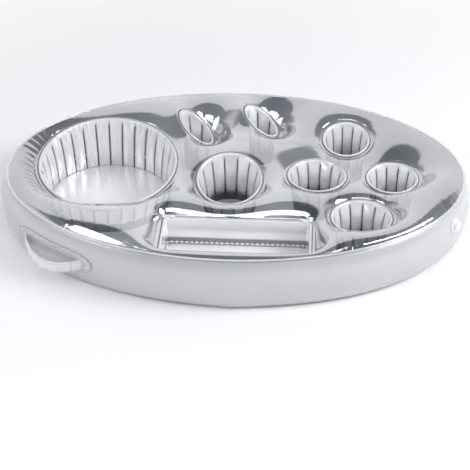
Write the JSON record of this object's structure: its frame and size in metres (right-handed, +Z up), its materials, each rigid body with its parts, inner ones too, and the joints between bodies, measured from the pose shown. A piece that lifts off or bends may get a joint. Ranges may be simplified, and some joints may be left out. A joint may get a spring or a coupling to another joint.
{
  "type": "floating drinks holder",
  "caption": "Oval inflatable float with a clear top film, round pleated cup wells, a large round bowl well, a rectangular tray well, a strap handle and a valve.",
  "frame": {"origin": "middle of the base, on the floor", "axes": "+X along the length with the bowl at -X, +Y away from the tray side, +Z up"},
  "size_m": [0.8596, 0.5816, 0.1215],
  "materials": {
    "silver_sheet": "silver vinyl sheet, satin with soft wrinkles at the welds",
    "silver_band": "silver vinyl sheet pulled smooth by the air, satin",
    "clear_film": "clear glossy vinyl film",
    "clear_vinyl": "clear soft vinyl, slightly milky"
  },
  "bodies": {
    "root": {"bottom_sheet": "silver_sheet", "side_band": "silver_band", "top_film": "clear_film", "well_wall_a": "silver_sheet", "well_wall_b": "silver_sheet", "well_wall_c": "silver_sheet", "well_wall_d": "silver_sheet", "well_wall_e": "silver_sheet", "well_wall_f": "silver_sheet", "well_wall_g": "silver_sheet", "well_floor_a": "silver_sheet", "well_floor_b": "silver_sheet", "well_floor_c": "silver_sheet", "well_floor_d": "silver_sheet", "well_floor_e": "silver_sheet", "well_floor_f": "silver_sheet", "well_floor_g": "silver_sheet", "bowl_wall": "silver_sheet", "bowl_floor": "silver_sheet", "tray_wall": "silver_sheet", "tray_floor": "silver_sheet", "handle": "clear_vinyl", "valve_body": "clear_vinyl", "valve_plug": "clear_vinyl"}
  },
  "joints": []
}
